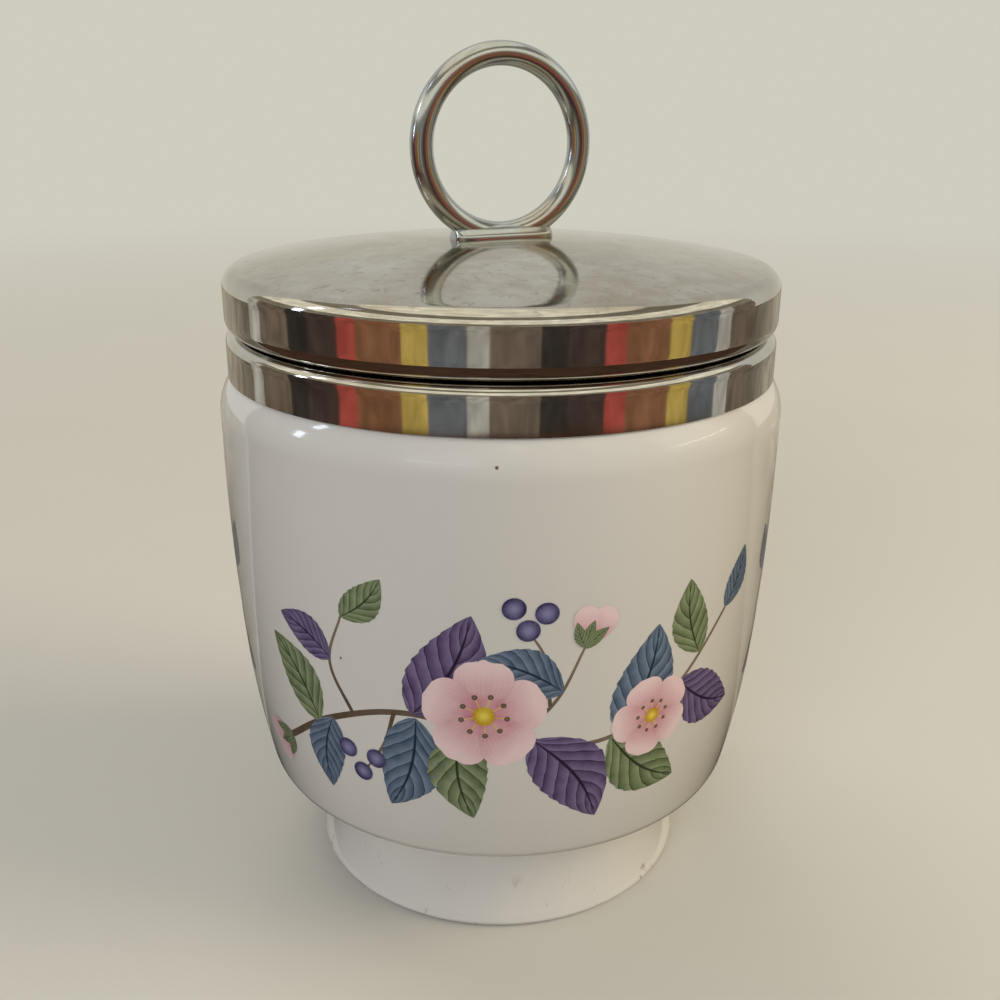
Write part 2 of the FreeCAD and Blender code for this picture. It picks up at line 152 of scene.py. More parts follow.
def chromiumPlate(name, hazy, metal=plate["metal"], dull=0.0):
    material, tree, shader = newMaterial(name)
    place = addNode(tree, "ShaderNodeTexCoord").outputs["Object"]
    smears = addNode(tree, "ShaderNodeTexNoise",
                     values={"Scale": perMillimetres(plate["smears"]), "Detail": 4.0, "Roughness": 0.6},
                     links={"Vector": place})
    smear = addNode(tree, "ShaderNodeMapRange", values={1: 0.42, 2: 0.72}, links={0: smears.outputs["Fac"]})
    colour = addNode(tree, "ShaderNodeMix", {"data_type": "RGBA"},
                     {6: linear(metal), 7: linear(plate["smear"])}, {0: smear.outputs[0]})
    rough = addNode(tree, "ShaderNodeMapRange", values={3: plate["clear"] + dull, 4: plate["smeared"] + dull},
                    links={0: smear.outputs[0]})
    colourOut = colour.outputs[2]
    roughOut = rough.outputs[0]
    if hazy:
        height = addNode(tree, "ShaderNodeSeparateXYZ", links={0: place}).outputs["Z"]
        onCrown = addNode(tree, "ShaderNodeMapRange",
                          values={1: plate["hazeFrom"] * millimetre, 2: plate["hazeFull"] * millimetre},
                          links={0: height})
        spots = addNode(tree, "ShaderNodeTexNoise",
                        values={"Scale": perMillimetres(plate["spots"]), "Detail": 6.0, "Roughness": 0.72,
                                "Distortion": 0.6}, links={"Vector": place})
        patches = addNode(tree, "ShaderNodeTexNoise", values={"Scale": perMillimetres(16.0), "Detail": 2.0},
                          links={"Vector": place})
        together = addNode(tree, "ShaderNodeMath", {"operation": "ADD"},
                           links={0: spots.outputs["Fac"], 1: patches.outputs["Fac"]})
        dried = addNode(tree, "ShaderNodeMapRange", values={1: 0.82, 2: 1.16, 3: 0.25, 4: 1.0},
                        links={0: together.outputs[0]})
        haze = addNode(tree, "ShaderNodeMath", {"operation": "MULTIPLY"},
                       links={0: dried.outputs[0], 1: onCrown.outputs[0]})
        colourOut = addNode(tree, "ShaderNodeMix", {"data_type": "RGBA"}, {7: linear(plate["haze"])},
                            {0: haze.outputs[0], 6: colourOut}).outputs[2]
        flecks = addNode(tree, "ShaderNodeTexNoise",
                         values={"Scale": perMillimetres(plate["flecks"]), "Detail": 3.0, "Roughness": 0.7,
                                 "Distortion": 0.4}, links={"Vector": place})
        fleck = addNode(tree, "ShaderNodeMapRange", values={1: 0.58, 2: 0.7, 3: 0.0, 4: 0.55},
                        links={0: flecks.outputs["Fac"]})
        flecked = addNode(tree, "ShaderNodeMath", {"operation": "MULTIPLY"},
                          links={0: fleck.outputs[0], 1: onCrown.outputs[0]})
        colourOut = addNode(tree, "ShaderNodeMix", {"data_type": "RGBA"}, {7: linear(plate["mark"])},
                            {0: flecked.outputs[0], 6: colourOut}).outputs[2]
        roughOut = addNode(tree, "ShaderNodeMix", {"data_type": "FLOAT"}, {3: plate["hazy"]},
                           {0: haze.outputs[0], 2: roughOut}).outputs[0]
    tree.links.new(colourOut, shader.inputs["Base Color"])
    tree.links.new(roughOut, shader.inputs["Roughness"])
    wave = addNode(tree, "ShaderNodeTexNoise", values={"Scale": perMillimetres(plate["wave"]), "Detail": 1.0},
                   links={"Vector": place})
    bump = addNode(tree, "ShaderNodeBump", values={"Strength": 0.35, "Distance": 0.12 * millimetre},
                   links={"Height": wave.outputs["Fac"]})
    tree.links.new(bump.outputs[0], shader.inputs["Normal"])
    shader.inputs["Metallic"].default_value = 1.0
    return material


# Cement set in the gap under the collar: matt, pale, with fine grit and grey stains
setCement = {"pale": "#b9ae9a", "deep": "#857b6b", "grit": 0.7}


def settingCement():
    material, tree, shader = newMaterial("cement_set")
    place = addNode(tree, "ShaderNodeTexCoord").outputs["Object"]
    grit = addNode(tree, "ShaderNodeTexNoise",
                   values={"Scale": perMillimetres(setCement["grit"]), "Detail": 8.0},
                   links={"Vector": place})
    tone = addNode(tree, "ShaderNodeMix", {"data_type": "RGBA"},
                   {6: linear(setCement["pale"]), 7: linear(setCement["deep"])}, {0: grit.outputs["Fac"]})
    tree.links.new(tone.outputs[2], shader.inputs["Base Color"])
    bump = addNode(tree, "ShaderNodeBump", values={"Strength": 0.8, "Distance": 0.15 * millimetre},
                   links={"Height": grit.outputs["Fac"]})
    tree.links.new(bump.outputs[0], shader.inputs["Normal"])
    shader.inputs["Roughness"].default_value = 0.9
    return material


# Ceramic transfer colours, fired on the glaze: flat tints under a gloss, deeper along the midrib
# and the veins of a leaf, and paler at a petal's edge. The mesh gives U along and V across
def firedColour(name, pale, deep, vein, veins):
    material, tree, shader = newMaterial(name)
    across = addNode(tree, "ShaderNodeUVMap", {"uv_map": "UVMap"}).outputs[0]
    parts = addNode(tree, "ShaderNodeSeparateXYZ", links={0: across})
    place = addNode(tree, "ShaderNodeTexCoord").outputs["Object"]
    brush = addNode(tree, "ShaderNodeTexNoise", values={"Scale": perMillimetres(1.6), "Detail": 4.0},
                    links={"Vector": place})
    side = addNode(tree, "ShaderNodeMath", {"operation": "SUBTRACT"}, {1: 0.5}, {0: parts.outputs["Y"]})
    offRib = addNode(tree, "ShaderNodeMath", {"operation": "ABSOLUTE"}, links={0: side.outputs[0]})
    if veins:
        slant = addNode(tree, "ShaderNodeMath", {"operation": "MULTIPLY_ADD"}, {1: -0.62},
                        {0: offRib.outputs[0], 2: parts.outputs["X"]})
        ribs = addNode(tree, "ShaderNodeMath", {"operation": "MULTIPLY"}, {1: float(veins)},
                       {0: slant.outputs[0]})
        ribPart = addNode(tree, "ShaderNodeMath", {"operation": "FRACT"}, links={0: ribs.outputs[0]})
        shadeRib = addNode(tree, "ShaderNodeMapRange", values={1: 0.0, 2: 1.0, 3: 0.75, 4: 0.1},
                           links={0: ribPart.outputs[0]})
        mottled = addNode(tree, "ShaderNodeMath", {"operation": "MULTIPLY_ADD"}, {1: 0.7, 2: -0.2},
                          {0: brush.outputs["Fac"]})
        depth = addNode(tree, "ShaderNodeMath", {"operation": "ADD", "use_clamp": True},
                        links={0: shadeRib.outputs[0], 1: mottled.outputs[0]})
        line = addNode(tree, "ShaderNodeMapRange", values={1: 0.0, 2: 0.1, 3: 1.0, 4: 0.0},
                       links={0: ribPart.outputs[0]})
        midrib = addNode(tree, "ShaderNodeMapRange", values={1: 0.012, 2: 0.035, 3: 1.0, 4: 0.0},
                         links={0: offRib.outputs[0]})
        lines = addNode(tree, "ShaderNodeMath", {"operation": "MAXIMUM"},
                        links={0: line.outputs[0], 1: midrib.outputs[0]})
        lineOut = lines.outputs[0]
    else:
        spread = addNode(tree, "ShaderNodeMapRange", values={1: 0.15, 2: 0.85, 3: 1.0, 4: 0.0},
                         links={0: parts.outputs["X"]})
        mottled = addNode(tree, "ShaderNodeMath", {"operation": "ADD"}, {1: 0.35}, {0: brush.outputs["Fac"]})
        depth = addNode(tree, "ShaderNodeMath", {"operation": "MULTIPLY", "use_clamp": True},
                        links={0: spread.outputs[0], 1: mottled.outputs[0]})
        fan = addNode(tree, "ShaderNodeMath", {"operation": "MULTIPLY"}, {1: 11.0}, {0: parts.outputs["Y"]})
        fanPart = addNode(tree, "ShaderNodeMath", {"operation": "FRACT"}, links={0: fan.outputs[0]})
        line = addNode(tree, "ShaderNodeMapRange", values={1: 0.0, 2: 0.16, 3: 0.45, 4: 0.0},
                       links={0: fanPart.outputs[0]})
        lines = addNode(tree, "ShaderNodeMath", {"operation": "MULTIPLY"},
                        links={0: line.outputs[0], 1: spread.outputs[0]})
        lineOut = lines.outputs[0]
    tint = addNode(tree, "ShaderNodeMix", {"data_type": "RGBA"}, {6: linear(pale), 7: linear(deep)},
                   {0: depth.outputs[0]})
    drawn = addNode(tree, "ShaderNodeMix", {"data_type": "RGBA"}, {7: linear(vein)},
                    {0: lineOut, 6: tint.outputs[2]})
    tree.links.new(drawn.outputs[2], shader.inputs["Base Color"])
    shader.inputs["Roughness"].default_value = 0.16
    shader.inputs["Coat Weight"].default_value = 0.6
    shader.inputs["Coat Roughness"].default_value = 0.04
    return material


# Points along an arc of a turned outline, in millimetres from the axis and from the table
def arc(across, up, radius, start, end, steps=10):
    turns = [math.radians(start + (end - start) * i / steps) for i in range(steps + 1)]
    return [(across + radius * math.cos(turn), up + radius * math.sin(turn)) for turn in turns]


def straight(start, end, steps):
    return [(start[0] + (end[0] - start[0]) * i / steps, start[1] + (end[1] - start[1]) * i / steps)
            for i in range(steps + 1)]


def keepMesh(name, points, faces, materials, body, faceMaterials=None, smooth=30):
    mesh = bpy.data.meshes.new(name)
    mesh.from_pydata([Vector(point) * millimetre for point in points], [], faces)
    for material in materials:
        mesh.materials.append(material)
    if faceMaterials:
        mesh.polygons.foreach_set("material_index", faceMaterials)
    tidy = bmesh.new()
    tidy.from_mesh(mesh)
    bmesh.ops.remove_doubles(tidy, verts=tidy.verts, dist=1e-7)
    bmesh.ops.recalc_face_normals(tidy, faces=tidy.faces)
    tidy.to_mesh(mesh)
    tidy.free()
    mesh.shade_smooth()
    mesh.set_sharp_from_angle(angle=math.radians(smooth))
    piece = bpy.data.objects.new(name, mesh)
    bpy.context.scene.collection.objects.link(piece)
    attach(piece, body)
    return piece


# Turns an outline about the axis. shape moves a point, given its angle, and pick says which
# material the strip above a point of the outline takes
def turn(name, outline, closed, materials, slotName, body, around=288, shape=None, pick=None):
    points = []
    for i in range(around):
        angle = 2 * math.pi * i / around
        for across, up in outline:
            r, z = shape(across, up, angle) if shape else (across, up)
            points.append((r * math.cos(angle), r * math.sin(angle), z))
    count = len(outline)
    faces = []
    chosen = []
    for i in range(around):
        here = i * count
        there = (i + 1) % around * count
        for j in range(count if closed else count - 1):
            k = (j + 1) % count
            faces.append((here + j, there + j, there + k, here + k))
            chosen.append(pick(*outline[j], *outline[k]) if pick else 0)
    return keepMesh(name, points, faces, materials, body, chosen)


porcelain = glazedPorcelain()
biscuit = unglazedPorcelain()
mirror = chromiumPlate("chromium_plate_clear", False)
wornMirror = chromiumPlate("chromium_plate_worn", False, plate["worn"], plate["wornDull"])
hazyMirror = chromiumPlate("chromium_plate_water_marked", True)
cement = settingCement()
print("materials ready")

# The cup
cupSizes = {"heel": (27.0, 15.8, 2.4), "flank": (-75.93, 38.47, 107.8), "flankTop": 29.0,
            "belly": (-252.09, 54.0, 284.64), "widest": 32.55, "shoulder": (26.55, 58.489, 6.0),
            "treadTop": 0.12}
outline = [(0, 11.4)] + straight((3.0, 11.4), (15.0, 11.4), 4) + arc(17.1, 9.4, 2.0, 90, 0, 8)
outline += arc(21.2, 0.8, 0.8, 180, 270, 6) + arc(22.6, 0.8, 0.8, 270, 360, 6)
outline += arc(43.02, 9.143, 21.32, 203.04, 180, 12)[1:] + arc(25.5, 9.143, 3.8, 180, 102, 12)[1:]
outline += arc(*cupSizes["heel"], -78, -12.42, 14) + arc(*cupSizes["flank"], -12.42, -5.04, 14)[1:]
outline += arc(*cupSizes["belly"], -5.04, 0, 18)[1:] + arc(*cupSizes["shoulder"], 0, 40.68, 14)
outline += [(29.0, 62.4), (27.2, 62.4)] + arc(27.2, 62.6, 0.2, 270, 180, 4)
outline += straight((27.0, 64.0), (27.0, 71.0), 4) + arc(25.9, 72.1, 1.1, 0, 90, 8)
outline += arc(25.7, 72.1, 1.1, 90, 180, 8)
outline += straight((24.6, 70.0), (24.6, 62.0), 4) + arc(26.2, 60.6, 1.6, 180, 270, 8)
outline += arc(27.55, 57.2, 1.8, 90, 0, 8) + arc(-252.09, 54.0, 281.44, 0, -5.1, 14)
outline += arc(19.72, 23.6, 8.0, -5.1, -90, 16) + straight((15.0, 15.6), (3.0, 15.6), 4) + [(0, 15.6)]
cup = turn("porcelain_cup", outline, False, [porcelain, biscuit], "porcelain", "base",
           pick=lambda r0, z0, r1, z1: 1 if max(z0, z1) < cupSizes["treadTop"] else 0)
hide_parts("cup")
print("cup turned")

# The cement that holds the collar
outline = [(27.03, 62.43), (30.77, 62.43), (30.77, 66.5)] + arc(30.5, 66.5, 0.27, 0, 90, 5)
outline += [(29.8, 66.77), (28.67, 67.6), (28.67, 71.9), (28.1, 71.75), (27.5, 71.8), (27.03, 71.95)]
cementSizes = {"seed": 4, "lumps": 96, "drop": 0.12, "topFrom": 27.2, "topTo": 28.4}
random.seed(cementSizes["seed"])
lumps = [random.uniform(-cementSizes["drop"], 0.0) for _ in range(cementSizes["lumps"])]


def lumpyTop(r, z, angle):
    if cementSizes["topFrom"] < r < cementSizes["topTo"]:
        return r, z + lumps[int(angle / (2 * math.pi) * len(lumps)) % len(lumps)]
    return r, z


cementFill = turn("collar_cement_fill", outline, True, [cement], "cement", "base", around=192,
                  shape=lumpyTop)
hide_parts("collar_cement")

# The collar and its rolled thread. Crests of both threads stay on the plain cylinders of the
# solids, so the lid's straight lift doesn't cut them
thread = {"pitch": 2.5, "depth": 0.38, "sleeveFrom": 68.3, "sleeveTo": 72.0, "bandFrom": 69.8, "bandTo": 72.6}


def threadWave(z, angle, low, high):
    turnsUp = (z / thread["pitch"] - angle / (2 * math.pi)) % 1.0
    wave = 0.5 - 0.5 * math.cos(2 * math.pi * turnsUp)
    fade = min(1.0, max(0.0, (z - low) / 0.5)) * min(1.0, max(0.0, (high - z) / 0.5))
    return thread["depth"] * wave * fade


def sleeveThread(r, z, angle):
    if abs(r - 29.3) < 0.001 and z > 67.95:
        return r - threadWave(z, angle, thread["sleeveFrom"], thread["sleeveTo"]), z
    return r, z


outline = [(30.85, 62.5), (31.35, 62.5), (31.4, 62.55)] + straight((31.4, 63.2), (31.4, 65.8), 3)
outline += [(30.1 + 1.3 * math.cos(math.radians(a)), 66.25 + 1.15 * math.sin(math.radians(a)))
            for a in range(6, 91, 6)]
outline += arc(29.8, 67.9, 0.5, 270, 180, 6)
outline += straight((29.3, 68.0), (29.3, 72.1), 26) + arc(29.0, 72.1, 0.3, 0, 90, 4)
outline += arc(29.0, 72.1, 0.3, 90, 180, 4)[1:]
outline += [(28.7, 67.9)] + arc(29.8, 67.9, 1.1, 180, 270, 6)[1:] + arc(30.5, 66.5, 0.3, 90, 0, 4)
outline += [(30.8, 62.55)]
collar = turn("pressed_collar", outline, True, [mirror], "plated_metal", "base", shape=sleeveThread)
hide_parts("collar")
print("collar turned")

# The lid: dome, rolled shoulder, plain skirt and a lower edge rolled under
lidSizes = {"dome": (0, -95.022, 172.0), "shoulder": (29.5, 72.5), "roll": (29.75, 69.17)}
joinAngle = math.degrees(math.atan2(167.522, 29.5))
outline = [(1.55, 76.971)] + arc(*lidSizes["dome"], 89.0, joinAngle, 30)
outline += arc(*lidSizes["shoulder"], 1.9, joinAngle, 0, 16)[1:]
outline += straight((31.4, 72.0), (31.4, 69.7), 6) + arc(*lidSizes["roll"], 1.65, 0, -90, 18)
outline += [(29.75, 67.57), (29.75, 68.17)]
outline += arc(*lidSizes["roll"], 0.95, -90, 0, 10) + straight((30.7, 69.6), (30.7, 72.3), 6)
outline += arc(*lidSizes["shoulder"], 1.2, 0, joinAngle, 12)
outline += arc(0, -95.022, 171.3, joinAngle, 89.0, 30)[1:] + [(1.55, 76.27)]
lid = turn("pressed_lid", outline, True, [hazyMirror], "plated_metal", "lid", around=360)
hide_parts("lid_shell")

outline = straight((30.67, 69.5), (30.67, 72.85), 2) + [(29.9, 72.85)] + arc(29.9, 72.55, 0.3, 90, 180, 5)
outline += straight((29.6, 72.5), (29.6, 69.9), 22)[1:] + arc(29.9, 69.8, 0.3, 180, 270, 5)


def bandThread(r, z, angle):
    if abs(r - 29.6) < 0.001:
        return r + threadWave(z, angle, thread["bandFrom"], thread["bandTo"]), z
    return r, z


band = turn("soldered_thread_band", outline, True, [mirror], "plated_metal", "lid", shape=bandThread)
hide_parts("lid_thread_band")
print("lid turned")

# The lifting ring, filed flat underneath, and the saddle that it is soldered into
ringSizes = {"radius": 9.5, "wire": 1.297, "centre": 86.92, "seat": 77.43, "around": 224, "section": 44}


def liftingRing():
    points = []
    for i in range(ringSizes["around"]):
        turnAngle = 2 * math.pi * i / ringSizes["around"]
        for j in range(ringSizes["section"]):
            section = 2 * math.pi * j / ringSizes["section"]
            reach = ringSizes["radius"] + ringSizes["wire"] * math.cos(section)
            z = ringSizes["centre"] + reach * math.sin(turnAngle)
            points.append((reach * math.cos(turnAngle), ringSizes["wire"] * math.sin(section),
                           max(z, ringSizes["seat"])))
    count = ringSizes["section"]
    faces = []
    for i in range(ringSizes["around"]):
        there = (i + 1) % ringSizes["around"]
        for j in range(count):
            k = (j + 1) % count
            faces.append((i * count + j, there * count + j, there * count + k, i * count + k))
    return keepMesh("wire_lifting_ring", points, faces, [wornMirror], "lid")


ring = liftingRing()
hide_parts("lifting_ring")

# The saddle, a rounded bar of brass under the plate, with its tang and peened rivet below the crown
saddleSizes = {"half": 6.0, "root": 76.6, "steps": 40,
               "section": [(2.0, 76.9), (2.0, 77.32), (1.85, 77.58), (1.5, 77.93), (1.15, 78.25),
                           (0.8, 78.45),
                           (0.4, 78.53), (0, 78.56)]}


def ringSaddle():
    points = []
    count = saddleSizes["steps"]
    section = saddleSizes["section"] + [(-y, z) for y, z in reversed(saddleSizes["section"][:-1])]
    across = len(section)
    for i in range(count + 1):
        t = math.sin(math.pi * (i / count - 0.5))
        scale = max(0.0, 1 - t ** 6) ** 0.25
        for y, z in section:
            points.append((saddleSizes["half"] * t, y * scale,
                           saddleSizes["root"] + (z - saddleSizes["root"]) * scale ** 0.5))
    faces = [(i * across + j, i * across + j + 1, (i + 1) * across + j + 1, (i + 1) * across + j)
             for i in range(count) for j in range(across - 1)]
    faces += [(i * across, (i + 1) * across, (i + 2) * across - 1, (i + 1) * across - 1)
              for i in range(count)]
    return keepMesh("soldered_saddle", points, faces, [wornMirror], "lid")


saddle = ringSaddle()
outline = [(0, 76.9), (1.5, 76.9), (1.5, 75.7), (2.2, 75.65), (2.3, 75.55)]
outline += arc(1.2, 76.3, 1.3, -35, -80, 8) + [(0, 75.0)]
tang = turn("saddle_tang_rivet", outline, False, [mirror], "plated_metal", "lid", around=96)
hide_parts("ring_saddle")

# Soft solder run into the corner between the saddle and the ring, one web at each side
solder = {"from": 2.4, "to": 5.4, "half": 1.15, "foot": 77.9, "steps": 12}


def solderWebs(side):
    points = []
    for i in range(solder["steps"] + 1):
        along = solder["from"] + (solder["to"] - solder["from"]) * i / solder["steps"]
        drop = along / (ringSizes["radius"] + ringSizes["wire"])
        underside = ringSizes["centre"] - math.sqrt((ringSizes["radius"] + 0.5) ** 2 - along ** 2)
        fade = 1 - 0.55 * (i / solder["steps"]) ** 2
        crest = underside + 0.25 * fade - 0.9 * drop ** 4
        for j in range(17):
            section = math.radians(-90 + 180 * j / 16)
            wide = solder["half"] * fade * (0.6 + 0.4 * abs(math.sin(section)) ** 2)
            height = solder["foot"] + (crest - solder["foot"]) * (0.5 + 0.5 * math.cos(2 * section)) ** 0.5
            points.append((side * along, wide * math.sin(section), height))
    faces = []
    for i in range(solder["steps"]):
        for j in range(16):
            a = i * 17 + j
            faces.append((a, a + 1, a + 18, a + 17))
    faces += [tuple(range(16, -1, -1)), tuple(range(solder["steps"] * 17, solder["steps"] * 17 + 17))]
    faces += [(i * 17, i * 17 + 17, i * 17 + 33, i * 17 + 16) for i in range(solder["steps"])]
    return keepMesh("solder_web_right" if side > 0 else "solder_web_left", points, faces, [mirror],
                    "lid")


solderWebs(1)
solderWebs(-1)
print("ring bent and soldered")

# The print: a garland of lance leaves, five-petalled blossoms and berries, three times round
garland = {"repeats": 3, "front": -114.0, "nominal": 32.0, "lift": 0.012, "layer": 0.0007}
inks = {
    "plum": firedColour("fired_plum", "#8d7ea3", "#463654", "#2c2136", 7),
    "slate": firedColour("fired_slate", "#8796a8", "#3b4b5f", "#22303f", 7),
    "olive": firedColour("fired_olive", "#a0ab84", "#4f5d3c", "#333f27", 6),
    "pink": firedColour("fired_pink", "#efd3d0", "#c77f8b", "#a35a6b", 0),
    "yellow": firedColour("fired_yellow", "#ecd55a", "#c39a1e", "#8a6a14", 0),
    "brown": firedColour("fired_brown", "#857561", "#5c4d3c", "#4a3d30", 0),
    "berry": firedColour("fired_berry", "#8a86ac", "#3b3358", "#2b2444", 0),
}
inkNames = list(inks)


def wallRadius(z):
    if z >= cupSizes["belly"][1]:
        return cupSizes["widest"]
    across, up, radius = cupSizes["belly"] if z >= cupSizes["flankTop"] else cupSizes["flank"]
    return across + math.sqrt(radius ** 2 - (z - up) ** 2)


class Print:
    def __init__(self):
        self.points = []
        self.faces = []
        self.inks = []
        self.uvs = []
        self.layer = 0
        self.turn = 0.0
        self.flip = 1

    def place(self, x, y):
        r = wallRadius(y) + garland["lift"] + garland["layer"] * self.layer
        angle = math.radians(garland["front"] + self.turn) + self.flip * x / garland["nominal"]
        return (r * math.cos(angle), r * math.sin(angle), y)

    # A patch of rows by columns; where gives (x, y) for t along and s across, both 0 to 1
    def patch(self, where, rows, columns, ink):
        first = len(self.points)
        self.layer += 1
        for i in range(rows + 1):
            for j in range(columns + 1):
                self.points.append(self.place(*where(i / rows, j / columns)))
        for i in range(rows):
            for j in range(columns):
                a = first + i * (columns + 1) + j
                quad = (a, a + 1, a + columns + 2, a + columns + 1)
                marks = ((i, j), (i, j + 1), (i + 1, j + 1), (i + 1, j))
                if self.flip < 0:
                    quad = quad[::-1]
                    marks = marks[::-1]
                self.faces.append(quad)
                self.uvs.append([(p / rows, q / columns) for p, q in marks])
                self.inks.append(inkNames.index(ink))

    def leaf(self, x, y, heading, length, width, ink, curl=0.12):
        along = Vector((math.cos(math.radians(heading)), math.sin(math.radians(heading))))
        beside = Vector((-along.y, along.x))

        def where(t, s):
            half = width / 2 * math.sin(math.pi * t ** 0.82) ** 0.85 + 0.03
            half *= 1 + 0.07 * (1 - (t * 9) % 1.0) * (0 if t in (0, 1) else 1)
            bow = length * curl * math.sin(math.pi * t * 0.9)
            spot = Vector((x, y)) + along * (length * t) + beside * bow
            return tuple(spot + beside * (half * (2 * s - 1)))

        self.patch(where, 36, 8, ink)

    def stem(self, knots, width, ink="brown"):
        line = [Vector(knot) for knot in knots]
        line = [line[0] * 2 - line[1]] + line + [line[-1] * 2 - line[-2]]
        spans = len(line) - 3

        def centre(t):
            span = min(int(t * spans), spans - 1)
            u = t * spans - span
            a, b, c, d = line[span:span + 4]
            return 0.5 * (2 * b + (c - a) * u + (2 * a - 5 * b + 4 * c - d) * u * u
                          + (3 * b - a - 3 * c + d) * u ** 3)

        def where(t, s):
            here = centre(t)
            ahead = centre(min(t + 0.01, 1.0)) - centre(max(t - 0.01, 0.0))
            beside = Vector((-ahead.y, ahead.x)).normalized()
            return tuple(here + beside * (width * (1 - 0.5 * t) * (s - 0.5)))

        self.patch(where, 14 * spans, 1, ink)

    def petal(self, x, y, heading, length, width, ink="pink"):
        along = Vector((math.cos(math.radians(heading)), math.sin(math.radians(heading))))
        beside = Vector((-along.y, along.x))

        def where(t, s):
            swell = math.sin(math.pi * (0.06 + 0.9 * t) * 0.62)
            half = width / 2 * swell * math.sqrt(max(0.0, 1 - t ** 5)) + 0.02
            notch = 1 - 0.1 * (1 - abs(2 * s - 1)) ** 3 * t ** 4
            spot = Vector((x, y)) + along * (length * t * notch)
            return tuple(spot + beside * (half * (2 * s - 1)))

        self.patch(where, 14, 10, ink)

    def dot(self, x, y, radius, ink):
        def where(t, s):
            turnAngle = 2 * math.pi * s
            return (x + radius * (1 - t) * math.cos(turnAngle), y + radius * (1 - t) * math.sin(turnAngle))

        self.patch(where, 3, 18, ink)

    def blossom(self, x, y, size, turnBy=0):
        for i in range(5):
            self.petal(x, y, turnBy + 72 * i, size, size * 1.02)
        for i in range(9):
            swing = math.radians(turnBy + 40 * i + 15)
            reach = size * 0.36
            self.stem([(x, y), (x + reach * math.cos(swing), y + reach * math.sin(swing))], 0.16, "yellow")
            self.dot(x + reach * math.cos(swing), y + reach * math.sin(swing), size * 0.045, "brown")
        self.dot(x, y, size * 0.17, "yellow")

    def bud(self, x, y, heading, size):
        self.petal(x, y, heading - 16, size, size * 0.66)
        self.petal(x, y, heading + 16, size * 0.95, size * 0.6)
        for swing in (-34, 0, 34):
            self.leaf(x, y, heading + swing, size * 0.62, size * 0.24, "olive", 0.05)


def drawGarland(canvas):
    canvas.layer = 0
    canvas.stem([(-27, 24.5), (-19, 30), (-10, 33), (0, 31.5), (10, 29.5), (19, 33), (27, 41)], 0.8)
    canvas.stem([(-16, 31.4), (-18.5, 37), (-16.5, 43)], 0.5)
    canvas.stem([(2, 31), (6, 35.5), (8.5, 41)], 0.5)
    canvas.stem([(-11, 32.8), (-12.5, 28.5), (-15.5, 24)], 0.5)
    canvas.stem([(5.2, 34.6), (4.6, 40), (2.8, 43.4)], 0.4)
    leaves = [
        (-21, 28.8, 128, 11.0, 5.6, "olive"), (-19, 30, -98, 10.0, 5.2, "slate"),
        (-16.6, 42.8, 48, 7.0, 3.6, "olive"), (-18.3, 37.5, 158, 8.0, 4.2, "plum"),
        (-9, 33, 64, 13.5, 7.4, "plum"), (-8.6, 32.6, 251, 12.5, 6.8, "slate"),
        (3.5, 30.6, -57, 13.5, 7.4, "plum"), (-4, 31.8, -82, 11.5, 6.2, "olive"),
        (6.5, 36.2, 158, 9.5, 5.0, "slate"), (13, 30.2, 74, 12.5, 6.6, "slate"),
        (12, 29.8, -38, 12.5, 6.6, "olive"), (20.5, 34.2, -28, 11.5, 6.0, "plum"),
        (23, 37, 103, 9.5, 4.8, "olive"), (27, 41, 66, 7.0, 3.6, "slate"),
    ]
    for x, y, heading, length, width, ink in leaves:
        canvas.leaf(x, y, heading, length, width, ink, 0.1 if heading % 2 else -0.1)
    canvas.blossom(-1.5, 33.6, 6.6, 18)
    canvas.blossom(17.0, 31.2, 5.0, 40)
    canvas.bud(-27, 24.5, 214, 6.0)
    canvas.bud(8.6, 41.0, 74, 5.0)
    for x, y in ((-15.5, 24.2), (-13.6, 26.4), (-17.2, 26.8), (2.8, 43.4), (4.6, 45.2), (1.4, 45.8)):
        canvas.dot(x, y, 1.2, "berry")


canvas = Print()
for repeat in range(garland["repeats"]):
    canvas.turn = 360.0 / garland["repeats"] * repeat
    canvas.flip = -1 if repeat == 1 else 1
    drawGarland(canvas)
printed = bpy.data.meshes.new("printed_garland")
printed.from_pydata([Vector(point) * millimetre for point in canvas.points], [], canvas.faces)
uvLayer = printed.uv_layers.new(name="UVMap")
uvLayer.data.foreach_set("uv", [value for quad in canvas.uvs for mark in quad for value in mark])
for ink in inkNames:
    printed.materials.append(inks[ink])
printed.polygons.foreach_set("material_index", canvas.inks)
printed.shade_smooth()
garlandPrint = bpy.data.objects.new("printed_garland", printed)
bpy.context.scene.collection.objects.link(garlandPrint)
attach(garlandPrint, "base")
print("garland printed")

# The studio: a pale floor that sweeps up all round, and a ring of low cards that show only in
# reflections. Each card runs from one heading to the next, in degrees from the camera
studio = {"floor": "#dbd8cf", "fibre": "#d8d5cb", "bounce": "#a39a8c", "floorRadius": 1.1, "sweep": 0.35,
          "wall": 0.42, "backdrop": "#cfccc0", "air": "#f1efe6", "airOnObject": 0.42, "airInMirrors": 0.72,
          "headings": -114.0, "cardInside": 0.0255, "cardRadius": 0.24, "cardMiddle": 0.07,
          "cardFloor": 0.0006, "lowTo": 0.016, "backTo": 0.045, "glow": 1.6, "folds": 0.6,
          "backCard": "#989080", "glowCard": "#e6e0cc", "floorCard": "#3d2a1f", "stripCard": "#7d7769",
          "cardSheet": "#2a2722"}
# Rows of the cards over the front, as angles above the rim of the lid
rows = {"wallTo": 12, "fadeTo": 22, "lineTo": 42, "darkTo": 58, "glowFrom": 74, "glowTo": 90, "front": 112}
# Plain sheets in a few invented tones, which follow each other by rule in an even rhythm of widths
cardTones = ["#606468", "#302c28", "#805840", "#a8a49c", "#403430", "#b09850", "#685c50", "#a04840"]
cardWidths = [14, 8, 18, 10]


